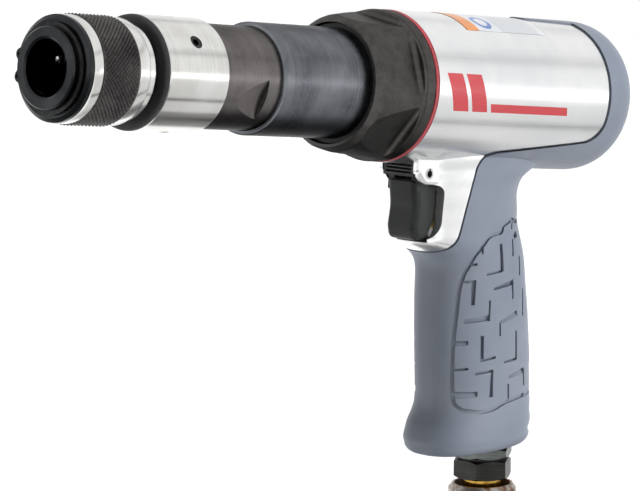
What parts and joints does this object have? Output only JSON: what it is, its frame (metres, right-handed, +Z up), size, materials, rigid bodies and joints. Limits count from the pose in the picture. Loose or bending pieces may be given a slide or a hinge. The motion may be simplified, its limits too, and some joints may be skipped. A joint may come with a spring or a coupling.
{
  "type": "pneumatic rivet gun",
  "caption": "Pistol-grip pneumatic rivet gun with a quick-change tool retainer, hinged trigger and bottom air inlet with quick coupler.",
  "frame": {"origin": "centre of the nose front face, on the barrel axis, at the mouth of the tool bore", "axes": "+X out of the nose along the barrel axis, +Z up away from the handle, +Y to the left of the user"},
  "size_m": [0.2745, 0.0544, 0.2153],
  "materials": {
    "black_oxide": "black oxide, satin",
    "spring_steel_black": "phosphated",
    "nickel_steel": "bright nickel, turned",
    "spring_steel": "drawn wire",
    "black_rubber": "smooth",
    "screw_steel": "black oxide",
    "gunmetal_steel": "turned, warm gunmetal",
    "blued_steel": "blued, satin",
    "dark_nut": "dark bead blasted",
    "red_rubber": "moulded",
    "ground_steel": "ground",
    "polished_aluminium": "polished",
    "grip_composite": "satin overmould",
    "trigger_plastic": "satin",
    "pin_steel": "bright",
    "louvre_plastic": "matte",
    "brass_part": "turned",
    "zinc_steel": "zinc plated",
    "bushing_black": "black oxide",
    "brass_plug": "yellow passivated",
    "coupler_body_steel": "worn plating",
    "worn_coupler": "worn plating with light rust",
    "ball_steel": "polished",
    "label_film": "printed film"
  },
  "bodies": {
    "frame": {"retainer_body": "black_oxide", "nose_snap_ring": "spring_steel_black", "stop_washer": "black_oxide", "sleeve_spring": "spring_steel", "bumper_ring": "black_rubber", "retainer_collar": "nickel_steel", "set_screws": "screw_steel", "barrel": "gunmetal_steel", "barrel_shroud": "blued_steel", "wiper_ring": "black_rubber", "clamp_nut": "dark_nut", "red_seal_ring": "red_rubber", "valve_case": "ground_steel", "valve_cap": "ground_steel", "valve_dowels": "ground_steel", "buffer_spring": "spring_steel", "rear_buffer": "black_rubber", "housing": "polished_aluminium", "grip": "grip_composite", "trigger_pin": "pin_steel", "exhaust_louvre": "louvre_plastic", "throttle_bushing": "brass_part", "throttle_spring": "spring_steel", "inlet_locknut": "zinc_steel", "inlet_bushing": "bushing_black", "inlet_screen": "brass_part", "air_plug": "brass_plug", "rating_label": "label_film", "throttle_seal": "black_rubber"},
    "sleeve": {"release_sleeve": "nickel_steel"},
    "trigger": {"trigger": "trigger_plastic"},
    "throttle": {"throttle_stem": "ground_steel"},
    "piston": {"piston": "ground_steel"},
    "cycle_valve": {"cycle_valve": "ground_steel"},
    "coupler": {"coupler_body": "coupler_body_steel", "coupler_spring": "spring_steel", "coupler_snap_ring": "spring_steel_black", "coupler_seal": "black_rubber", "coupler_valve": "brass_part", "coupler_valve_spring": "spring_steel"},
    "coupler_sleeve": {"coupler_sleeve": "worn_coupler"},
    "ball_1": {"locking_ball_1": "ball_steel"},
    "coupler_ball_1": {"coupler_ball_1": "ball_steel"},
    "ball_2": {"locking_ball_2": "ball_steel"},
    "coupler_ball_2": {"coupler_ball_2": "ball_steel"},
    "ball_3": {"locking_ball_3": "ball_steel"},
    "coupler_ball_3": {"coupler_ball_3": "ball_steel"},
    "ball_4": {"locking_ball_4": "ball_steel"},
    "coupler_ball_4": {"coupler_ball_4": "ball_steel"}
  },
  "joints": [
    {"name": "sleeve_slide", "type": "slide", "parent": "frame", "child": "sleeve", "axis": [-1, 0, 0], "range_m": [0, 0.0028], "stiffness_N_per_m": 2500, "springref_m": -0.004, "deforming": ["sleeve_spring"]},
    {"name": "trigger_pivot", "type": "hinge", "parent": "frame", "child": "trigger", "pos_m": [-0.1769, 0, -0.0296], "axis": [0, 1, 0], "range_deg": [0, 9], "stiffness_Nm_per_rad": 0.35, "springref_deg": -28.65},
    {"name": "throttle_slide", "type": "slide", "parent": "frame", "child": "throttle", "axis": [-1, 0, 0], "range_m": [0, 0.0024], "deforming": ["throttle_spring"]},
    {"name": "piston_slide", "type": "slide", "parent": "frame", "child": "piston", "axis": [1, 0, 0], "range_m": [0, 0.058]},
    {"name": "cycle_valve_slide", "type": "slide", "parent": "frame", "child": "cycle_valve", "axis": [1, 0, 0], "range_m": [0, 0.0012]},
    {"name": "coupler_swivel", "type": "hinge", "parent": "frame", "child": "coupler", "pos_m": [-0.2323, 0, -0.15711], "axis": [0.1132, 0, 0.9936], "continuous": true},
    {"name": "coupler_sleeve_slide", "type": "slide", "parent": "coupler", "child": "coupler_sleeve", "axis": [-0.1132, 0, -0.9936], "range_m": [0, 0.003], "stiffness_N_per_m": 1500, "springref_m": -0.004, "deforming": ["coupler_spring"]},
    {"name": "ball_1_slide", "type": "slide", "parent": "frame", "child": "ball_1", "axis": [0, -0.9563, 0.2924], "range_m": [0, 0.00125]},
    {"name": "ball_2_slide", "type": "slide", "parent": "frame", "child": "ball_2", "axis": [0, -0.2924, -0.9563], "range_m": [0, 0.00125]},
    {"name": "ball_3_slide", "type": "slide", "parent": "frame", "child": "ball_3", "axis": [0, 0.9563, -0.2924], "range_m": [0, 0.00125]},
    {"name": "ball_4_slide", "type": "slide", "parent": "frame", "child": "ball_4", "axis": [0, 0.2924, 0.9563], "range_m": [0, 0.00125]},
    {"name": "coupler_ball_1_slide", "type": "slide", "parent": "coupler", "child": "coupler_ball_1", "axis": [0.9936, 0, -0.1132], "range_m": [0, 0.0011]},
    {"name": "coupler_ball_2_slide", "type": "slide", "parent": "coupler", "child": "coupler_ball_2", "axis": [0, 1, 0], "range_m": [0, 0.0011]},
    {"name": "coupler_ball_3_slide", "type": "slide", "parent": "coupler", "child": "coupler_ball_3", "axis": [-0.9936, 0, 0.1132], "range_m": [0, 0.0011]},
    {"name": "coupler_ball_4_slide", "type": "slide", "parent": "coupler", "child": "coupler_ball_4", "axis": [0, -1, 0], "range_m": [0, 0.0011]}
  ],
  "couplings": [
    {"joint": "throttle_slide", "follows": "trigger_pivot", "m_per_rad": 0.01464},
    {"joint": "ball_1_slide", "follows": "sleeve_slide", "ratio": 0.42857},
    {"joint": "ball_2_slide", "follows": "sleeve_slide", "ratio": 0.42857},
    {"joint": "ball_3_slide", "follows": "sleeve_slide", "ratio": 0.42857},
    {"joint": "ball_4_slide", "follows": "sleeve_slide", "ratio": 0.42857},
    {"joint": "coupler_ball_1_slide", "follows": "coupler_sleeve_slide", "ratio": 0.35},
    {"joint": "coupler_ball_2_slide", "follows": "coupler_sleeve_slide", "ratio": 0.35},
    {"joint": "coupler_ball_3_slide", "follows": "coupler_sleeve_slide", "ratio": 0.35},
    {"joint": "coupler_ball_4_slide", "follows": "coupler_sleeve_slide", "ratio": 0.35}
  ]
}
